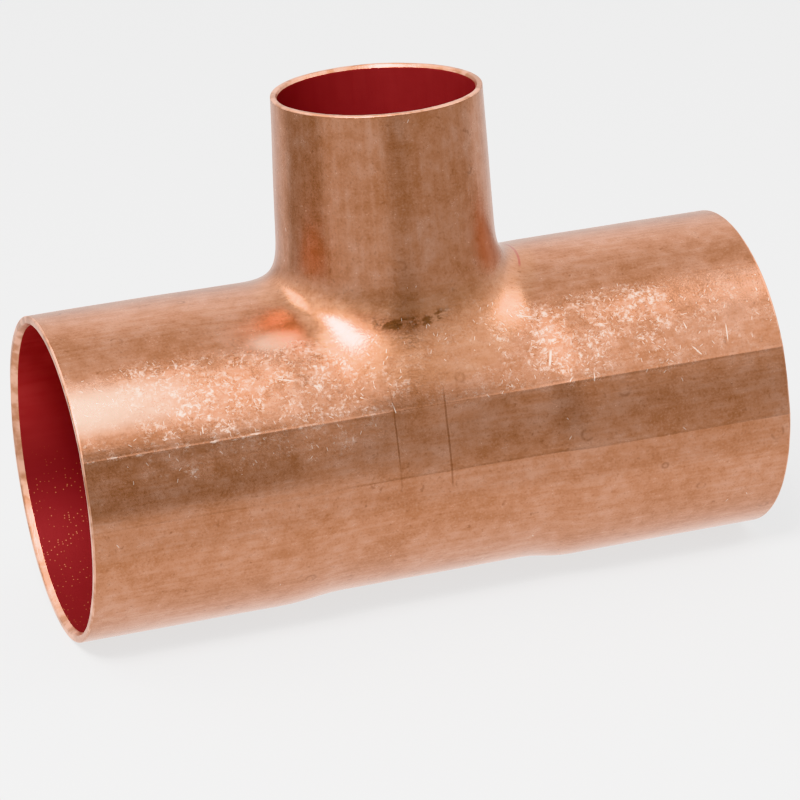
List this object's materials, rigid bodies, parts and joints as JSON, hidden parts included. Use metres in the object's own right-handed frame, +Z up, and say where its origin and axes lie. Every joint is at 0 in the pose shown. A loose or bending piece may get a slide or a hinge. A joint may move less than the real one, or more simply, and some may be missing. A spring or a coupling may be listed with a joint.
{
  "type": "tee fitting",
  "caption": "Copper reducing tee for soldered tube: a straight run with equal sockets and a smaller branch socket at its middle.",
  "frame": {"origin": "where the centre lines of the run and the branch cross", "axes": "+X along the run, +Z up the branch and out of its mouth, +Y across both"},
  "size_m": [0.0826, 0.0374, 0.0583],
  "materials": {
    "copper": "bare cold-formed copper, satin, lightly scuffed"
  },
  "bodies": {
    "root": {"tee_body": "copper"}
  },
  "joints": []
}
